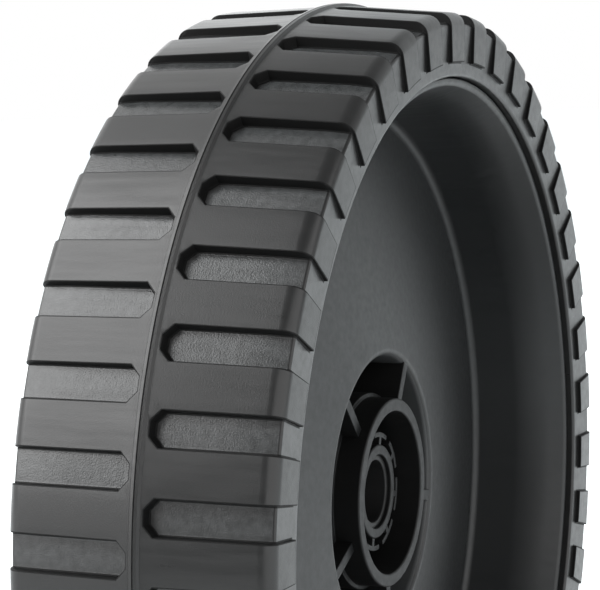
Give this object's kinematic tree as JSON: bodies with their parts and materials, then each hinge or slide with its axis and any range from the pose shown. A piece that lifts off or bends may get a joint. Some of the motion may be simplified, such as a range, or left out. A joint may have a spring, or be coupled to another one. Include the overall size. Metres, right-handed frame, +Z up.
{
  "type": "lawn mower wheel",
  "caption": "Mower wheel: a tread tyre with staggered lugs on a dished rim, with a ribbed hub pocket and a plain bush for the axle.",
  "frame": {"origin": "centre of the wheel, on the axle line in the plane of the tread's parting rib", "axes": "+Y along the axle, away from the open outer face of the dish; +Z up, with the wheel standing on its tread"},
  "size_m": [0.2, 0.0494, 0.2],
  "materials": {
    "tread_rubber": "satin black, lightly scuffed",
    "body_plastic": "moulded satin dark grey",
    "bush_plastic": "smooth dark grey"
  },
  "bodies": {
    "root": {"tyre": "tread_rubber", "wheel_body": "body_plastic", "axle_bush": "bush_plastic"}
  },
  "joints": []
}
